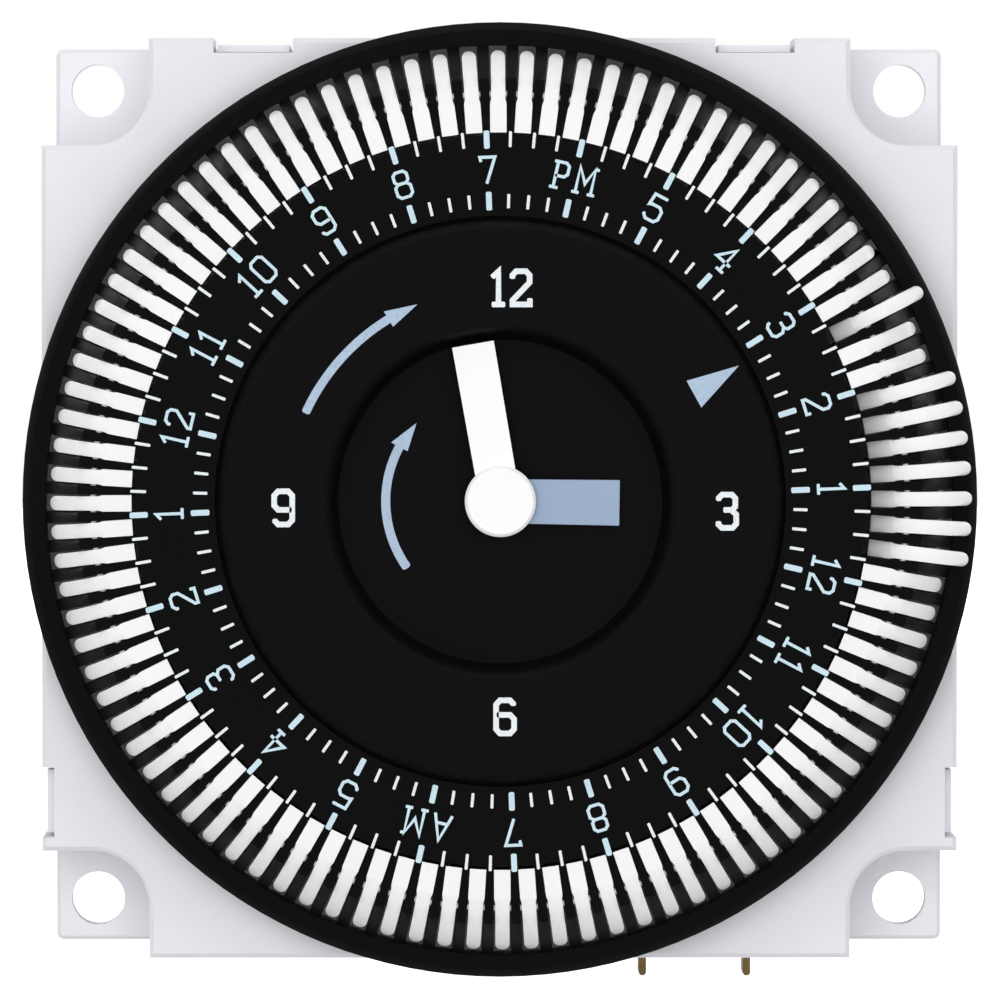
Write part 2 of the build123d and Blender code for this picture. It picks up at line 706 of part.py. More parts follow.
THIN_ENDS = (MOVEMENT_PLATE[0] + 0.1, TRAIN_PLATE[1] - 0.1)
with BuildPart() as third_wheel:
    disc(*THIN_ENDS, THIN_ARBOR, THIRD_AT)
    wheel(17.2, 18.8, THIRD_PINION_TEETH, MEDIUM, third_pinion_phase, THIRD_AT)
    wheel(15.9, 16.7, REDUCTION_TEETH, FINE, 0.0, THIRD_AT)
    disc(16.7, 17.2, 0.9, THIRD_AT)
save(third_wheel, "third_wheel")

with BuildPart() as second_wheel:
    disc(*THIN_ENDS, THIN_ARBOR, SECOND_AT)
    wheel(15.7, 16.9, PINION_TEETH, FINE, second_pinion_phase, SECOND_AT)
    wheel(18.9, 19.7, REDUCTION_TEETH, FINE, 0.0, SECOND_AT)
    disc(18.3, 18.9, 0.9, SECOND_AT)
save(second_wheel, "second_wheel")

with BuildPart() as rotor_pinion:
    disc(*THIN_ENDS, THIN_ARBOR, ROTOR_AT)
    wheel(18.7, 19.9, PINION_TEETH, FINE, rotor_pinion_phase, ROTOR_AT)
save(rotor_pinion, "rotor_pinion")

with BuildPart() as rotor_magnet:
    disc(14.8, 17.0, 2.9, ROTOR_AT)
    bore(14.8, 17.0, THIN_ARBOR, ROTOR_AT)
save(rotor_magnet, "rotor_magnet")


# ---------------------------------------------------------------- plates, pillars and screws
PLATE_EDGES = (-25.5, 6.5, -17.0, 16.5)
SCREW_HEAD = 1.4
STATOR_SCREWS = ((-19.5, 13.0), (-6.0, 13.0))
STATOR = (15.3, 16.3)

with BuildPart() as train_plate:
    block(*TRAIN_PLATE, *PLATE_EDGES, corner=2.0)
    bore(*TRAIN_PLATE, MINUTE_HOLE)
    bore(*TRAIN_PLATE, ARBOR_HOLE, MINUTE_WHEEL_AT, DRIVE_WHEEL_AT)
    bore(*TRAIN_PLATE, THIN_HOLE, THIRD_AT, SECOND_AT, ROTOR_AT)
    bore(*TRAIN_PLATE, SCREW_HOLE, *PILLARS)
save(train_plate, "train_plate")

with BuildPart() as movement_plate:
    block(*MOVEMENT_PLATE, *PLATE_EDGES, corner=2.0)
    bore(*MOVEMENT_PLATE, MINUTE_HOLE)
    bore(*MOVEMENT_PLATE, THIN_HOLE, THIRD_AT, SECOND_AT, ROTOR_AT)
    bore(*MOVEMENT_PLATE, SCREW_HOLE, *PILLARS, *STATOR_SCREWS)
save(movement_plate, "movement_plate")

with BuildPart() as movement_pillars:
    disc(MOVEMENT_PLATE[1], TRAIN_PLATE[0], 1.5, *PILLARS)
    bore(MOVEMENT_PLATE[1], TRAIN_PLATE[0], SCREW_HOLE, *PILLARS)
save(movement_pillars, "movement_pillars")

with BuildPart() as movement_screws:
    disc(MOVEMENT_PLATE[0], TRAIN_PLATE[1] + 2.6, SCREW, *PILLARS)
    disc(MOVEMENT_PLATE[0] - 1.0, MOVEMENT_PLATE[0], SCREW_HEAD, *PILLARS)
save(movement_screws, "movement_screws")

with BuildPart() as train_bridge:
    disc(*BRIDGE, 9.0)
    for boss in BRIDGE_BOSSES:
        arm(*BRIDGE, CENTRE, 3.0, boss, 1.6)
    bore(*BRIDGE, HOUR_PIPE + 0.08)
    bore(*BRIDGE, ARBOR_HOLE, MINUTE_WHEEL_AT)
    bore(*BRIDGE, SCREW_HOLE, *BRIDGE_BOSSES)
save(train_bridge, "train_bridge")

with BuildPart() as bridge_screws:
    disc(FACE + 2.2, BRIDGE[1], SCREW, *BRIDGE_BOSSES)
    disc(BRIDGE[1], BRIDGE[1] + 0.4, SCREW_HEAD, *BRIDGE_BOSSES)
save(bridge_screws, "bridge_screws")


# ---------------------------------------------------------------- stepping motor and its board
CORE = (20.4, 22.8)
CORE_MIDDLE = (-(STATOR[0] + STATOR[1]) / 2, (CORE[0] + CORE[1]) / 2)

with BuildPart() as stator:
    block(*STATOR, -23.0, -3.5, 8.8, CORE[1], corner=1.0)
    bore(*STATOR, 3.3, ROTOR_AT)
    bore(*STATOR, SCREW_HOLE, *STATOR_SCREWS)
    with BuildSketch(level(STATOR[0])):
        with Locations((-13.25, (17.2 + CORE[0]) / 2)):
            Rectangle(13.5, CORE[0] - 17.2)
    extrude(amount=STATOR[1] - STATOR[0], mode=Mode.SUBTRACT)
save(stator, "stator")

with BuildPart() as coil_bobbin:
    with BuildSketch(Plane.YZ.offset(-19.5)):
        with Locations(CORE_MIDDLE):
            Rectangle(2.4, 3.8)
    extrude(amount=12.5)
    with BuildSketch(Plane.YZ.offset(-19.5), Plane.YZ.offset(-7.6)):
        with Locations(CORE_MIDDLE):
            RectangleRounded(6.8, 6.6, 0.8)
    extrude(amount=0.6)
    with BuildSketch(Plane.YZ.offset(-19.5)):
        with Locations(CORE_MIDDLE):
            Rectangle(1.06, 2.46)
    extrude(amount=12.5, mode=Mode.SUBTRACT)
save(coil_bobbin, "coil_bobbin")

with BuildPart() as coil_winding:
    with BuildSketch(Plane.YZ.offset(-18.88)):
        with Locations(CORE_MIDDLE):
            RectangleRounded(5.6, 5.6, 1.6)
            Rectangle(2.42, 3.82, mode=Mode.SUBTRACT)
    extrude(amount=11.26)
save(coil_winding, "coil_winding")

with BuildPart() as stator_screws:
    disc(MOVEMENT_PLATE[0] + 0.2, STATOR[1], SCREW, *STATOR_SCREWS)
    disc(MOVEMENT_PLATE[1], STATOR[0], 1.3, *STATOR_SCREWS)
    disc(STATOR[1], STATOR[1] + 0.8, SCREW_HEAD, *STATOR_SCREWS)
save(stator_screws, "stator_screws")

with BuildPart() as circuit_board:
    block(*BOARD, -22.0, 6.0, -15.2, 20.0, corner=1.0)
    bore(*BOARD, SCREW_HOLE, *BOARD_POSTS)
save(circuit_board, "circuit_board")

with BuildPart() as board_screws:
    disc(WALL + 0.4, BOARD[1], SCREW, *BOARD_POSTS)
    disc(BOARD[1], BOARD[1] + 0.8, SCREW_HEAD, *BOARD_POSTS)
save(board_screws, "board_screws")

with BuildPart() as capacitor:
    block(BOARD[1], BOARD[1] + 5.2, -18.0, -5.0, 4.0, 10.0)
    fillet(capacitor.edges().filter_by(Axis.Y), 0.8)
    fillet(capacitor.faces().sort_by(Axis.Y)[0].edges(), 0.5)
save(capacitor, "capacitor")

with BuildPart() as control_chip:
    block(BOARD[1], BOARD[1] + 1.5, -16.0, -8.0, -7.0, -2.0)
    chamfer(control_chip.faces().sort_by(Axis.Y)[0].edges(), 0.25)
save(control_chip, "control_chip")

with BuildPart() as quartz_crystal:
    with BuildSketch(Plane.YZ.offset(-5.0)):
        with Locations((-(BOARD[1] + 1.0), -5.0)):
            Circle(1.0)
    extrude(amount=6.0)
    fillet(quartz_crystal.faces().sort_by(Axis.X)[-1].edges(), 0.4)
save(quartz_crystal, "quartz_crystal")


# ---------------------------------------------------------------- switch and terminals
LEVER = (22.3, 24.0)
BLADE_X = TERMINAL_X[2] + 0.37  # the faces of the two blades that look away from each other
BLADE_THICK = 0.25
FIXED_X = BLADE_X + 1.58
PEG_AT = (BLADE_X + 1.06, -11.0)
STRIP_BACK = 16.5
CONTACT_AT = (-17.8, -8.5)  # depth and height of the contact buttons
CONTACT_RADIUS = 0.75
ARM_BOTTOM, ARM_TOP = -20.5, -17.8

with BuildPart() as follower_lever:
    arm(*LEVER, LEVER_PIVOT, 2.0, nose_rest, 0.9)
    arm(LEVER[0], LEVER[0] + 1.0, LEVER_PIVOT, 2.0, PEG_AT, 0.9)
    disc(LEVER[1], FACE + 3.3, 0.45, nose_rest)
    disc(19.0, LEVER[0], 0.7, PEG_AT)
    bore(*LEVER, SCREW_HOLE + 0.05, LEVER_PIVOT)
save(follower_lever, "follower_lever")

with BuildPart() as lever_pin:
    disc(19.2, FACE - WALL + 1.0, SCREW_HOLE, LEVER_PIVOT)
    disc(18.8, 19.2, SCREW_HEAD, LEVER_PIVOT)
save(lever_pin, "lever_pin")

with BuildPart() as lever_spring:
    for turn in range(4):
        with BuildPart(level(20.0 + 0.4 * turn), mode=Mode.PRIVATE) as coil:
            with Locations(LEVER_PIVOT):
                Torus(1.4, 0.22)
        add(coil.part)
    arm(21.05, 21.35, (LEVER_PIVOT[0] + 1.4, LEVER_PIVOT[1]), 0.2, (27.9, 0.5), 0.2)
save(lever_spring, "lever_spring")


def tab(x, top, tip=TERMINAL_TIP):
    """A push-on tab below the case, and the strip it is cut from, up to its inner end."""
    half = TERMINAL_THICK / 2
    block(TERMINAL_BACK, TERMINAL_BACK + TERMINAL_WIDTH, x - half, x + half, tip, top)


def finish_tab(builder, tip=TERMINAL_TIP):
    """The bevelled tip and the detent hole of each tab."""
    tips = builder.faces().filter_by(lambda f: abs(f.center().Z - tip) < 0.01)
    chamfer(tips.edges().filter_by(Axis.Y), 0.14)
    middle = TERMINAL_BACK + TERMINAL_WIDTH / 2
    with BuildSketch(Plane.YZ.offset(-10)) as detent:
        with Locations((-middle, tip + 3.4)):
            Circle(0.7)
    extrude(detent.sketch, amount=30, mode=Mode.SUBTRACT)


with BuildPart() as motor_terminals:
    for x in TERMINAL_X[:2]:
        tab(x, -15.25, MOTOR_TERMINAL_TIP)
    finish_tab(motor_terminals, MOTOR_TERMINAL_TIP)
save(motor_terminals, "motor_terminals")

with BuildPart() as common_terminal:
    x = TERMINAL_X[2]
    tab(x, ARM_TOP)
    block(TERMINAL_BACK, 20.6, x - TERMINAL_THICK / 2, x + TERMINAL_THICK / 2, ARM_BOTTOM, ARM_TOP)
    finish_tab(common_terminal)
save(common_terminal, "common_terminal")

with BuildPart() as moving_contact:
    block(17.0, 20.6, BLADE_X, BLADE_X + BLADE_THICK, -19.5, -7.2)
    with BuildSketch(Plane.YZ.offset(BLADE_X + BLADE_THICK)):
        with Locations(CONTACT_AT):
            Circle(CONTACT_RADIUS)
    extrude(amount=0.63)
save(moving_contact, "moving_contact")

with BuildPart() as fixed_contact:
    x = TERMINAL_X[3]
    half = TERMINAL_THICK / 2
    tab(x, ARM_TOP)
    block(TERMINAL_BACK, STRIP_BACK + 2.1, x - half, x + half, ARM_BOTTOM, ARM_TOP)
    block(STRIP_BACK, STRIP_BACK + 2.1, FIXED_X, x, ARM_BOTTOM, ARM_BOTTOM + 0.5)
    block(STRIP_BACK, STRIP_BACK + 2.1, FIXED_X, FIXED_X + 0.4, ARM_BOTTOM, -7.2)
    with BuildSketch(Plane.YZ.offset(FIXED_X - 0.6)):
        with Locations(CONTACT_AT):
            Circle(CONTACT_RADIUS)
    extrude(amount=0.6)
    finish_tab(fixed_contact)
save(fixed_contact, "fixed_contact")
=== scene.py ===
"""The look of a 24 hour programmable timer: its finishes, printed marks, rounded edges, studio and camera."""

import math

import bmesh
import bpy
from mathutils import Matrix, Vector


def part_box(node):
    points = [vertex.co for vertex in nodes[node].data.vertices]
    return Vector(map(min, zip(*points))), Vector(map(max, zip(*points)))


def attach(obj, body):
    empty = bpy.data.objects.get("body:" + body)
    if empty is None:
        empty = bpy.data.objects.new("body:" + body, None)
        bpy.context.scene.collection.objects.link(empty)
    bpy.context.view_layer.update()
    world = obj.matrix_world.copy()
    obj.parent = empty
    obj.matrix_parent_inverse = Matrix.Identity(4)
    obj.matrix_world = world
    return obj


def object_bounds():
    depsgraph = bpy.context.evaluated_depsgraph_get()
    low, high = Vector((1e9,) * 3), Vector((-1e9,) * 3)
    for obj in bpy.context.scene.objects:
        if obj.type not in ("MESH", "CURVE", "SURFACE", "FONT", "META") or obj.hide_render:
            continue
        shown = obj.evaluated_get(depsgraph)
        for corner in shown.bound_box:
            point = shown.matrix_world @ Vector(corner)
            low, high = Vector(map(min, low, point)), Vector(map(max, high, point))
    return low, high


MM = 0.001
HOURS = 24
QUARTERS = 96
NOON = 102.83  # clockwise from the top, in degrees, of the number for noon

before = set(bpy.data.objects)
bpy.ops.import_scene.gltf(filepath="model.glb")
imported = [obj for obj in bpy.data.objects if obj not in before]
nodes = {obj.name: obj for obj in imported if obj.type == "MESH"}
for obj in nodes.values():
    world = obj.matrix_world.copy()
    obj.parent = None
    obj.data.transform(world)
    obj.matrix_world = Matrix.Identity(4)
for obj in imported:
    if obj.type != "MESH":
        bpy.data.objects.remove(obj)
cad_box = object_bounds()
RING_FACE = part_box("programme_dial")[0].y
PLATE_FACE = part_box("centre_plate")[0].y
DISH_DEPTH = 1.8 * MM  # of the dished clock face in the middle of the plate
COVER_FACE = -27.0 * MM


# ---------------------------------------------------------------- finishes


def grey(level):
    """A linear grey."""
    return (level, level, level, 1.0)


def tone(red, green, blue):
    """A colour in display values from 0 to 255, as the linear colour that shaders use."""
    values = [c / 255 for c in (red, green, blue)]
    linear = [v / 12.92 if v <= 0.04045 else ((v + 0.055) / 1.055) ** 2.4 for v in values]
    return (*linear, 1.0)


def shade(colour, by):
    """The same colour, lighter or darker."""
    return (*[min(1.0, c * by) for c in colour[:3]], 1.0)


class Finish:
    """One procedural material, with a few short calls for the nodes that it is made of."""

    def __init__(self, name, **sockets):
        self.material = bpy.data.materials.new(name)
        self.material.use_nodes = True
        self.nodes = self.material.node_tree.nodes
        self.links = self.material.node_tree.links
        self.shader = self.nodes["Principled BSDF"]
        self.place = self.nodes.new("ShaderNodeTexCoord").outputs["Object"]
        for socket, value in sockets.items():
            self.shader.inputs[socket.replace("_", " ")].default_value = value

    def stretched(self, x, y, z):
        """The object's coordinates, drawn out or pressed together along its axes."""
        node = self.nodes.new("ShaderNodeMapping")
        node.inputs["Scale"].default_value = (x, y, z)
        self.links.new(self.place, node.inputs["Vector"])
        return node.outputs["Vector"]

    def noise(self, size, detail=3.0, place=None):
        """Noise whose patches are about size across, in metres."""
        node = self.nodes.new("ShaderNodeTexNoise")
        node.inputs["Scale"].default_value = 1 / size
        node.inputs["Detail"].default_value = detail
        self.links.new(place or self.place, node.inputs["Vector"])
        return node.outputs["Fac"]

    def cells(self, size):
        """Rounded cells about size across, as a spark-eroded mould leaves them."""
        node = self.nodes.new("ShaderNodeTexVoronoi")
        node.inputs["Scale"].default_value = 1 / size
        self.links.new(self.place, node.inputs["Vector"])
        return node.outputs["Distance"]

    def bands(self, pitch, axis):
        """Parallel bands, a pitch apart along that axis."""
        node = self.nodes.new("ShaderNodeTexWave")
        node.bands_direction = axis
        node.inputs["Scale"].default_value = math.pi / 10 / pitch
        self.links.new(self.place, node.inputs["Vector"])
        return node.outputs["Fac"]

    def between(self, value, low, high, start=0.3, end=0.7):
        """A number from low to high, as value goes from start to end."""
        node = self.nodes.new("ShaderNodeMapRange")
        for socket, number in (("From Min", start), ("From Max", end), ("To Min", low), ("To Max", high)):
            node.inputs[socket].default_value = number
        self.links.new(value, node.inputs["Value"])
        return node.outputs["Result"]

    def blended(self, value, first, second):
        """The first colour where value is 0 and the second where it is 1, each a colour or an output."""
        node = self.nodes.new("ShaderNodeMix")
        node.data_type = "RGBA"
        self.links.new(value, node.inputs["Factor"])
        for socket, colour in (("A", first), ("B", second)):
            target = next(i for i in node.inputs if i.name == socket and i.type == "RGBA")
            if isinstance(colour, tuple):
                target.default_value = colour
            else:
                self.links.new(colour, target)
        return next(o for o in node.outputs if o.type == "RGBA")

    def bumped(self, height, depth, strength=1.0, over=None):
        """A surface normal raised by height, on top of an earlier one."""
        node = self.nodes.new("ShaderNodeBump")
        node.inputs["Distance"].default_value = depth
        node.inputs["Strength"].default_value = strength
        self.links.new(height, node.inputs["Height"])
        if over is not None:
            self.links.new(over, node.inputs["Normal"])
        return node.outputs["Normal"]

    def put(self, **sockets):
        """Joins outputs to the shader's sockets, and gives the finished material."""
        for socket, output in sockets.items():
            self.links.new(output, self.shader.inputs[socket.replace("_", " ")])
        return self.material


def moulded(name, colour, roughness, grain=0.22 * MM, relief=0.004 * MM, drift=0.96, **sockets):
    """Injection-moulded plastic: a slow drift in tone, a fine eroded grain and faint sink marks."""
    finish = Finish(name, **sockets)
    clouds = finish.between(finish.noise(9 * MM), 0.0, 1.0)
    base = finish.blended(clouds, colour, shade(colour, drift))
    specks = finish.between(finish.noise(0.35 * MM, 2.0), 0.0, 0.5, 0.56, 0.8)
    base = finish.blended(specks, base, shade(colour, drift * drift))
    gloss = finish.between(finish.noise(2.4 * MM, 4.0), roughness - 0.05, roughness + 0.06)
    sunk = finish.bumped(finish.noise(6 * MM, 1.0), 0.03 * MM, 0.5)
    surface = finish.bumped(finish.cells(grain), relief, 0.8, sunk)
    return finish.put(Base_Color=base, Roughness=gloss, Normal=surface)


UNDER_INK = tone(13, 13, 15)  # the black face that ink is printed on


def ink(name, colour):
    """Pad-printed ink, a little thin in places."""
    finish = Finish(name, Specular_IOR_Level=0.3)
    thin = finish.between(finish.noise(0.12 * MM, 3.0), 0.0, 0.22, 0.5, 0.75)
    patches = finish.between(finish.noise(1.5 * MM, 2.0), 0.0, 1.0)
    full = finish.blended(patches, colour, shade(colour, 0.93))
    gloss = finish.between(finish.noise(0.3 * MM), 0.5, 0.62)
    surface = finish.bumped(finish.noise(0.1 * MM, 2.0), 0.003 * MM, 0.6)
    return finish.put(Base_Color=finish.blended(thin, full, UNDER_INK), Roughness=gloss, Normal=surface)


ROLLING = (1.0, 1.0, 0.06)  # how far rolling draws the streaks of a sheet out along each axis


def stamped(name, colour, roughness, dull):
    """Rolled and stamped sheet metal: rolling streaks, a light tarnish and small scratches."""
    finish = Finish(name, Metallic=1.0)
    rolled = finish.noise(0.16 * MM, 4.0, finish.stretched(*ROLLING))
    tarnish = finish.between(finish.noise(3.5 * MM, 5.0), 0.0, 0.75, 0.45, 0.72)
    base = finish.blended(tarnish, colour, dull)
    base = finish.blended(finish.between(rolled, 0.0, 0.35), base, shade(colour, 0.75))
    gloss = finish.between(rolled, roughness - 0.07, roughness + 0.1)
    scratches = finish.bumped(rolled, 0.004 * MM, 0.7)
    surface = finish.bumped(finish.noise(0.6 * MM, 5.0), 0.006 * MM, 0.4, scratches)
    return finish.put(Base_Color=base, Roughness=gloss, Normal=surface)


def wound(name, colour):
    """Layer-wound enamelled wire, with painted shade darkening the grooves between its turns."""
    finish = Finish(name, Metallic=1.0, Coat_Weight=0.6, Coat_Roughness=0.12)
    turns = finish.bands(0.1 * MM, "X")
    # Painted shade: the colour darkens in the grooves between the turns, where the bump dips.
    base = finish.blended(turns, shade(colour, 0.45), colour)
    gloss = finish.between(finish.noise(0.5 * MM), 0.22, 0.36)
    return finish.put(Base_Color=base, Roughness=gloss, Normal=finish.bumped(turns, 0.04 * MM))


def laminate(name, mask, weave):
    """Glass-fibre board under solder mask, whose weave shows through it."""
    finish = Finish(name, Coat_Weight=0.3, Coat_Roughness=0.2)
    warp, weft = finish.bands(0.5 * MM, "X"), finish.bands(0.5 * MM, "Z")
    cloth = finish.blended(warp, grey(0.0), finish.blended(weft, grey(0.0), grey(1.0)))
    base = finish.blended(finish.between(cloth, 0.0, 0.6, 0.0, 1.0), mask, weave)
    gloss = finish.between(finish.noise(1.2 * MM), 0.32, 0.45)
    return finish.put(Base_Color=base, Roughness=gloss, Normal=finish.bumped(cloth, 0.012 * MM))


MATT = {"Specular_IOR_Level": 0.12}
SMOOTH = {"grain": 0.12 * MM, "relief": 0.002 * MM}
FINISHES = {
    "case": moulded("case_white", tone(236, 235, 240), 0.42, drift=0.975),
    "dial": moulded("dial_black", tone(5, 5, 6), 0.45, drift=0.7, **MATT),
    "plate": moulded("plate_black", tone(6, 6, 8), 0.47, drift=0.8, **MATT),
    "tappet": moulded("tappet_white", tone(243, 243, 244), 0.38, grain=0.15 * MM, drift=0.94),
    "minute": moulded("hand_white", tone(248, 248, 248), 0.45, drift=0.98, **SMOOTH),
    "hour": moulded("hand_blue_grey", tone(154, 172, 198), 0.48, drift=0.95, **SMOOTH),
    "gear": moulded("gear_natural", tone(226, 222, 208), 0.34, drift=0.95),
    "movement": moulded("movement_grey", tone(176, 178, 180), 0.45, drift=0.93),
    "bobbin": moulded("bobbin_black", tone(34, 34, 36), 0.4, drift=0.85),
    "chip": moulded("chip_black", tone(28, 28, 30), 0.62, grain=0.1 * MM, drift=0.8),
    "sleeve": moulded("sleeve_blue", tone(38, 62, 112), 0.3, grain=0.4 * MM, drift=0.85),
    "magnet": moulded("ferrite", tone(52, 50, 52), 0.55, grain=0.12 * MM, drift=0.8),
    "steel": stamped("steel", (0.56, 0.57, 0.58, 1.0), 0.32, (0.42, 0.42, 0.43, 1.0)),
    "spring": stamped("spring_steel", (0.62, 0.6, 0.57, 1.0), 0.28, (0.45, 0.4, 0.34, 1.0)),
    "can": stamped("can_nickel", (0.68, 0.67, 0.63, 1.0), 0.22, (0.55, 0.53, 0.49, 1.0)),
    "brass": stamped("brass", (0.4, 0.29, 0.12, 1.0), 0.36, (0.2, 0.13, 0.06, 1.0)),
    "copper": wound("enamelled_copper", (0.75, 0.32, 0.14, 1.0)),
    "board": laminate("circuit_board_green", tone(22, 84, 52), tone(46, 120, 74)),
    "white_ink": ink("white_ink", tone(235, 241, 245)),
    "pale_ink": ink("pale_blue_ink", tone(206, 230, 241)),
    "blue_ink": ink("blue_grey_ink", tone(176, 196, 218)),
}

NODES_OF_FINISH = {
    "case": ("rear_housing", "front_cover"),
    "dial": ("programme_dial",),
    "plate": ("centre_plate",),
    "hour": ("hour_hand",),
    "minute": ("minute_hand",),
    "gear": (
        "dial_gear_ring",
        "cannon_pinion",
        "hour_wheel",
        "minute_wheel",
        "dial_drive_wheel",
        "centre_wheel",
        "third_wheel",
        "second_wheel",
        "rotor_pinion",
        "follower_lever",
    ),
    "magnet": ("rotor_magnet",),
    "movement": ("train_plate", "movement_plate", "movement_pillars", "train_bridge"),
    "steel": (
        "minute_arbor",
        "movement_screws",
        "bridge_screws",
        "stator",
        "stator_screws",
        "board_screws",
        "lever_pin",
    ),
    "spring": ("clutch_spring", "lever_spring"),
    "bobbin": ("coil_bobbin",),
    "copper": ("coil_winding",),
    "board": ("circuit_board",),
    "sleeve": ("capacitor",),
    "chip": ("control_chip",),
    "can": ("quartz_crystal",),
    "brass": ("motor_terminals", "common_terminal", "moving_contact", "fixed_contact"),
}
FINISH_OF_NODE = {name: finish for finish, names in NODES_OF_FINISH.items() for name in names}


def on_tappets(name):
    """Whether a node is one of the tappets, or the ring that they turn on."""
    return name.startswith("tappet")


for name, node in nodes.items():
    finish = "tappet" if on_tappets(name) else FINISH_OF_NODE[name]
    for slot in node.material_slots:
        slot.material = FINISHES[finish]


# ---------------------------------------------------------------- rounded edges

TAPPET_EDGE = 0.06
EDGE_RADIUS = {  # in mm; the other nodes keep their edges
    "front_cover": 0.2,
    "rear_housing": 0.2,
    "programme_dial": 0.06,
    "centre_plate": 0.08,
    "hour_hand": 0.05,
    "minute_hand": 0.05,
    "motor_terminals": 0.08,
    "common_terminal": 0.08,
    "fixed_contact": 0.08,
}
WELD_DISTANCE = 0.002 * MM
SHARP_EDGE = math.radians(40)  # an edge that turns by less stays as it is
for name, node in nodes.items():
    radius = TAPPET_EDGE if on_tappets(name) else EDGE_RADIUS.get(name)
    if radius is None:
        continue
    weld = node.modifiers.new("joined_faces", "WELD")
    weld.merge_threshold = WELD_DISTANCE
    bevel = node.modifiers.new("rounded_edges", "BEVEL")
    bevel.width = radius * MM
    bevel.segments = 2
    bevel.limit_method = "ANGLE"
    bevel.angle_limit = SHARP_EDGE
    bevel.harden_normals = True
    bevel.use_clamp_overlap = True


# ---------------------------------------------------------------- printed marks

# Each character's width, and the centre lines of its strokes as x,y points. Both are in hundredths of its
# height. A stroke that ends in z is closed.
CHARACTERS = {
    "0": (59, "12,0 47,0 59,13 59,87 47,100 12,100 0,87 0,13 z"),
    "1": (38, "0,83 19,100 19,0", "0,0 38,0"),
    "2": (59, "2,80 2,88 14,100 46,100 58,88 58,66 2,12 2,0 59,0 59,16"),
    "3": (
        59,
        "2,84 2,90 13,100 45,100 56,89 56,64 45,54 20,54",
        "42,54 59,40 59,12 47,0 12,0 1,10 1,17",
    ),
    "4": (66, "46,0 46,100 0,36 66,36", "30,0 62,0"),
    "5": (59, "58,100 6,100 2,56 12,60 46,60 59,46 59,14 46,0 12,0 0,12 0,18"),
    "6": (59, "56,86 56,90 46,100 13,100 0,87 0,13 13,0 46,0 59,13 59,43 46,56 5,56"),
    "7": (58, "3,84 0,100 58,100 24,0"),
    "8": (
        59,
        "13,54 46,54 56,65 56,89 45,100 14,100 3,89 3,65 z",
        "13,54 0,42 0,12 13,0 46,0 59,12 59,42 46,54",
    ),
    "A": (66, "0,0 33,100 66,0", "12,34 54,34"),
    "M": (80, "10,0 10,100 40,38 70,100 70,0", "-3,0 22,0", "58,0 83,0", "70,100 83,100"),
    "P": (59, "14,0 14,100 47,100 59,89 59,58 47,46 14,46", "0,0 30,0", "2,100 14,100"),
}


def stroke_of(text):
    """One written stroke, as its points in units of the height and whether it is closed."""
    closed = text.endswith(" z")
    points = [point.split(",") for point in text.removesuffix(" z").split()]
    return [(int(x) / 100, int(y) / 100) for x, y in points], closed


GLYPHS = {
    character: ([stroke_of(text) for text in strokes], width / 100)
    for character, (width, *strokes) in CHARACTERS.items()
}
SIX, SIX_WIDTH = GLYPHS["6"]
GLYPHS["9"] = ([([(SIX_WIDTH - x, 1 - y) for x, y in points], closed) for points, closed in SIX], SIX_WIDTH)

SUNK = 0.004 * MM  # how far a mark lies below one that it crosses
INK_PROUD = 0.025 * MM
INK_DEPTH = 0.03 * MM  # how far the marks reach into the face
MITRE_LIMIT = 0.45
END_CAP = 0.18  # length of a stroke's softened end, in widths
END_CAP_INSET = 0.2  # how far the end's two corners stand in from the sides, in widths


def clock(radius, turn):
    """The (x, z) place at that radius, turned clockwise from the top, in degrees."""
    angle = math.radians(turn)
    return Vector((radius * math.sin(angle), radius * math.cos(angle)))


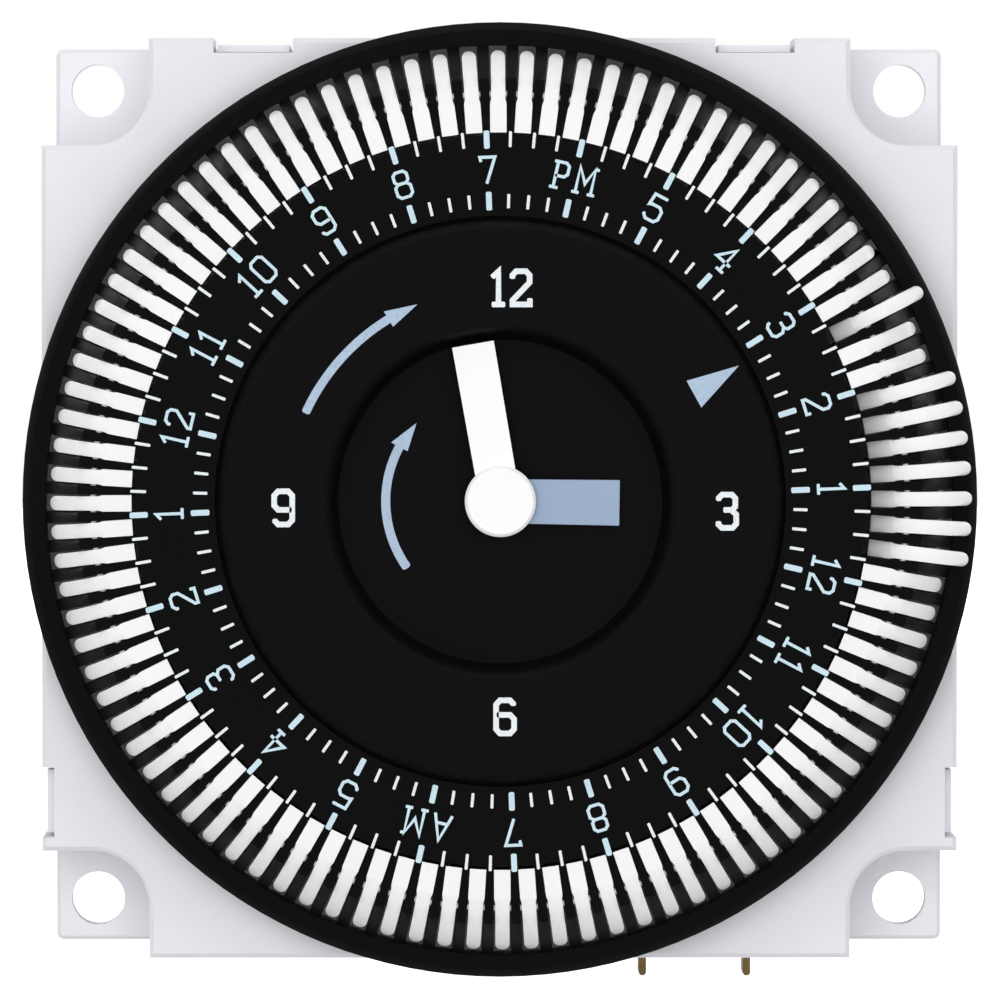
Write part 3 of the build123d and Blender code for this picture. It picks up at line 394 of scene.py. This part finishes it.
class Marks:
    """Flat marks printed on one face of the timer, gathered into one mesh."""

    def __init__(self, face):
        self.mesh = bmesh.new()
        self.back = face + INK_DEPTH
        self.front = face - INK_PROUD

    def shape(self, outline, sink=0.0):
        """A closed outline of (x, z) points. One that crosses another is sunk a little below it."""
        front = [self.mesh.verts.new((p[0], self.front + sink, p[1])) for p in outline]
        back = [self.mesh.verts.new((p[0], self.back, p[1])) for p in outline]
        self.mesh.faces.new(front)
        self.mesh.faces.new(back[::-1])
        for i in range(len(outline)):
            j = (i + 1) % len(outline)
            self.mesh.faces.new((front[j], front[i], back[i], back[j]))

    def stroke(self, points, width, closed=False, sink=0.0):
        """A line of that width along the points, with mitred corners and softened ends."""
        points = [Vector(p) for p in points]
        last = len(points) - 1
        left, right = [], []
        for i, point in enumerate(points):
            before = points[i - 1] if i or closed else None
            after = points[(i + 1) % len(points)] if i < last or closed else None
            into = (point - before).normalized() if before is not None else (after - point).normalized()
            out = (after - point).normalized() if after is not None else into
            middle = (into + out).normalized()
            across = Vector((-middle.y, middle.x))
            reach = width / 2 / max(MITRE_LIMIT, across.dot(Vector((-into.y, into.x))))
            left.append(point + across * reach)
            right.append(point - across * reach)
        if closed:
            for i in range(len(points)):
                j = (i + 1) % len(points)
                self.shape([left[i], left[j], right[j], right[i]], sink)
            return
        start = (points[0] - points[1]).normalized() * width * END_CAP
        end = (points[-1] - points[-2]).normalized() * width * END_CAP
        near, far = END_CAP_INSET, 1 - END_CAP_INSET
        cap = [left[-1].lerp(right[-1], near) + end, left[-1].lerp(right[-1], far) + end]
        tail = [right[0].lerp(left[0], near) + start, right[0].lerp(left[0], far) + start]
        self.shape(left + cap + right[::-1] + tail, sink)

    def word(self, text, middle, height, pen, up, gap=0.2, wide=1.0):
        """Characters side by side, centred on middle, with their tops towards up."""
        right = Vector((up.y, -up.x))
        unit = height - pen
        widths = [GLYPHS[c][1] * unit * wide for c in text]
        space = gap * unit
        left = -(sum(widths) + (pen + space) * (len(text) - 1)) / 2
        for character, width in zip(text, widths):
            for number, (line, closed) in enumerate(GLYPHS[character][0]):
                placed = [
                    middle + right * (left + x * unit * wide) + up * (y - 0.5) * unit for x, y in line
                ]
                self.stroke(placed, pen, closed, sink=number * SUNK)
            left += width + pen + space

    def made(self, name, finish, body, slot):
        """The marks become one piece that moves with that body."""
        bmesh.ops.recalc_face_normals(self.mesh, faces=self.mesh.faces)
        data = bpy.data.meshes.new(name)
        self.mesh.to_mesh(data)
        self.mesh.free()
        data.materials.append(FINISHES[finish])
        piece = bpy.data.objects.new(name, data)
        bpy.context.scene.collection.objects.link(piece)
        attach(piece, body)


def ticks(inner, outer, width, every, skip=None):
    """Radial ticks between two radii at every so many quarters, on the number ring."""
    marks = Marks(RING_FACE)
    for quarter in range(0, QUARTERS, every):
        if skip and quarter % skip == 0:
            continue
        turn = NOON - quarter * 360 / QUARTERS
        marks.stroke([clock(inner, turn), clock(outer, turn)], width)
    return marks


PER_HOUR = QUARTERS // HOURS
QUARTER_TICK, HOUR_TICK = 0.19 * MM, 0.37 * MM  # widths
inner_quarters = ticks(18.95 * MM, 19.8 * MM, QUARTER_TICK, 1, skip=PER_HOUR)
inner_quarters.made("inner_quarter_ticks", "white_ink", "dial", "white_hand")
outer_quarters = ticks(22.9 * MM, 23.85 * MM, QUARTER_TICK, 1, skip=PER_HOUR)
outer_quarters.made("outer_quarter_ticks", "white_ink", "dial", "white_hand")
inner_hours = ticks(18.85 * MM, 19.92 * MM, HOUR_TICK, PER_HOUR)
inner_hours.made("inner_hour_ticks", "pale_ink", "dial", "white_hand")
outer_hours = ticks(22.83 * MM, 23.87 * MM, HOUR_TICK, PER_HOUR)
outer_hours.made("outer_hour_ticks", "pale_ink", "dial", "white_hand")

RING_NUMBER_RADIUS = 21.38 * MM
RING_NUMBER_HEIGHT, RING_NUMBER_PEN = 1.88 * MM, 0.2 * MM
numbers = Marks(RING_FACE)
for hour in range(HOURS):
    turn = NOON - (hour - 12) * 360 / HOURS
    label = {6: "AM", 18: "PM"}.get(hour, str(hour % 12 or 12))
    place, up = clock(RING_NUMBER_RADIUS, turn), clock(1.0, turn)
    numbers.word(label, place, RING_NUMBER_HEIGHT, RING_NUMBER_PEN, up)
numbers.made("ring_numbers", "pale_ink", "dial", "white_hand")

UP = Vector((0.0, 1.0))
PLATE_NUMBER_HEIGHT, PLATE_NUMBER_PEN = 2.5 * MM, 0.36 * MM
PLATE_NUMBERS = (("12", 0.7, 13.78), ("6", 0.3, -13.88), ("3", 14.62, -0.62), ("9", -14.0, -0.4))  # in mm
plate_numbers = Marks(PLATE_FACE)
for label, x, z in PLATE_NUMBERS:
    place = Vector((x * MM, z * MM))
    plate_numbers.word(label, place, PLATE_NUMBER_HEIGHT, PLATE_NUMBER_PEN, UP, gap=0.06, wide=0.92)
plate_numbers.made("plate_numbers", "white_ink", "root", "white_hand")

POINTER_TIP, POINTER_FOOT = 17.7 * MM, 14.3 * MM  # radii
pointer = Marks(PLATE_FACE)
pointer.shape([clock(POINTER_FOOT, 57.0), clock(POINTER_TIP, 60.3), clock(POINTER_FOOT, 64.9)])
pointer.made("time_pointer", "blue_ink", "root", "grey_hand")


def arrow(face, radius, start, end, pen, head_length, head_width):
    """An arrow bent round the middle of the plate, clockwise from start to end, in degrees."""
    marks = Marks(face)
    neck = end - math.degrees(head_length / radius)
    steps = 36
    line = [clock(radius, start + (neck - start) * i / steps) for i in range(steps + 1)]
    marks.stroke(line, pen)
    half = head_width / 2
    marks.shape([clock(radius - half, neck), clock(radius, end), clock(radius + half, neck)], sink=SUNK)
    return marks


dial_arrow = arrow(PLATE_FACE, 13.8 * MM, 294.8, 337.2, 0.55 * MM, 2.1 * MM, 1.15 * MM)
dial_arrow.made("dial_arrow", "blue_ink", "root", "grey_hand")
hand_arrow = arrow(PLATE_FACE + DISH_DEPTH, 7.4 * MM, 235.0, 313.0, 0.58 * MM, 1.9 * MM, 1.2 * MM)
hand_arrow.made("hand_arrow", "blue_ink", "root", "grey_hand")


# ---------------------------------------------------------------- studio and camera

FLOOR_RADIUS = 1.5
FLOOR_GAP = 0.02 * MM  # below the lowest point of the timer
FLOOR_GLOW = 0.93
floor_mesh = bpy.data.meshes.new("floor")
disc = bmesh.new()
bmesh.ops.create_circle(disc, cap_ends=True, segments=96, radius=FLOOR_RADIUS)
disc.to_mesh(floor_mesh)
disc.free()
floor = bpy.data.objects.new("floor", floor_mesh)
floor.location.z = cad_box[0].z - FLOOR_GAP
bpy.context.scene.collection.objects.link(floor)
floor_finish = Finish("pale_floor", Roughness=0.9, Specular_IOR_Level=0.1, Emission_Strength=FLOOR_GLOW)
floor_finish.shader.inputs["Emission Color"].default_value = grey(1.0)
mottle = floor_finish.between(floor_finish.noise(40 * MM, 5.0), 0.0, 1.0)
mottled = floor_finish.blended(mottle, grey(0.93), grey(0.9))
floor_mesh.materials.append(floor_finish.put(Base_Color=mottled))
# The floor is a pale backdrop only: it throws no light and no reflection on the timer.
floor.visible_diffuse = floor.visible_glossy = floor.visible_shadow = False

LIGHT_DISTANCE = 1.0


def softbox(name, azimuth, elevation, size, power, glossy=True):
    """A square soft light that faces the timer. Without glossy it leaves no reflection on it."""
    data = bpy.data.lights.new(name, "AREA")
    data.shape = "SQUARE"
    data.size = size
    data.energy = power
    light = bpy.data.objects.new(name, data)
    light.visible_glossy = glossy
    a, e = math.radians(azimuth), math.radians(elevation)
    away = Vector((math.sin(a) * math.cos(e), -math.cos(a) * math.cos(e), math.sin(e)))
    light.location = away * LIGHT_DISTANCE
    light.rotation_mode = "QUATERNION"
    light.rotation_quaternion = away.to_track_quat("Z", "Y")
    bpy.context.scene.collection.objects.link(light)


softbox("front_fill", -3, 2, size=0.6, power=4.8, glossy=False)
softbox("front_left", -42, 22, size=0.5, power=0.7)
softbox("front_right", 42, 22, size=0.5, power=0.6)
softbox("overhead", 0, 72, size=0.9, power=1.2)
softbox("rear_left", -140, 25, size=0.7, power=3.2)
softbox("rear_right", 140, 25, size=0.7, power=3.2)

AMBIENT = 0.48  # light from all round; the backdrop itself is white
world = bpy.data.worlds.new("studio")
bpy.context.scene.world = world
world.use_nodes = True
tree = world.node_tree
background = tree.nodes["Background"]
background.inputs["Color"].default_value = grey(AMBIENT)
white = tree.nodes.new("ShaderNodeBackground")
white.inputs["Color"].default_value = grey(1.0)
path = tree.nodes.new("ShaderNodeLightPath")
either = tree.nodes.new("ShaderNodeMixShader")
tree.links.new(path.outputs["Is Camera Ray"], either.inputs["Fac"])
tree.links.new(background.outputs["Background"], either.inputs[1])
tree.links.new(white.outputs["Background"], either.inputs[2])
tree.links.new(either.outputs["Shader"], tree.nodes["World Output"].inputs["Surface"])
bpy.context.scene.view_settings.view_transform = "Standard"

CAMERA_DISTANCE = 0.8
FIELD_WIDTH = 65.3 * MM  # across the view, at the case's face
camera_data = bpy.data.cameras.new("camera")
camera_data.lens = camera_data.sensor_width * CAMERA_DISTANCE / FIELD_WIDTH
camera_data.clip_start, camera_data.clip_end = 0.01, 10.0
camera = bpy.data.objects.new("camera", camera_data)
camera.location = (-4 * MM, COVER_FACE - CAMERA_DISTANCE, 16 * MM)
AIMED_AT = Vector((0.0, -32.2 * MM, 0.0))
aim = AIMED_AT - camera.location
camera.rotation_mode = "QUATERNION"
camera.rotation_quaternion = aim.to_track_quat("-Z", "Y")
bpy.context.scene.collection.objects.link(camera)
bpy.context.scene.camera = camera
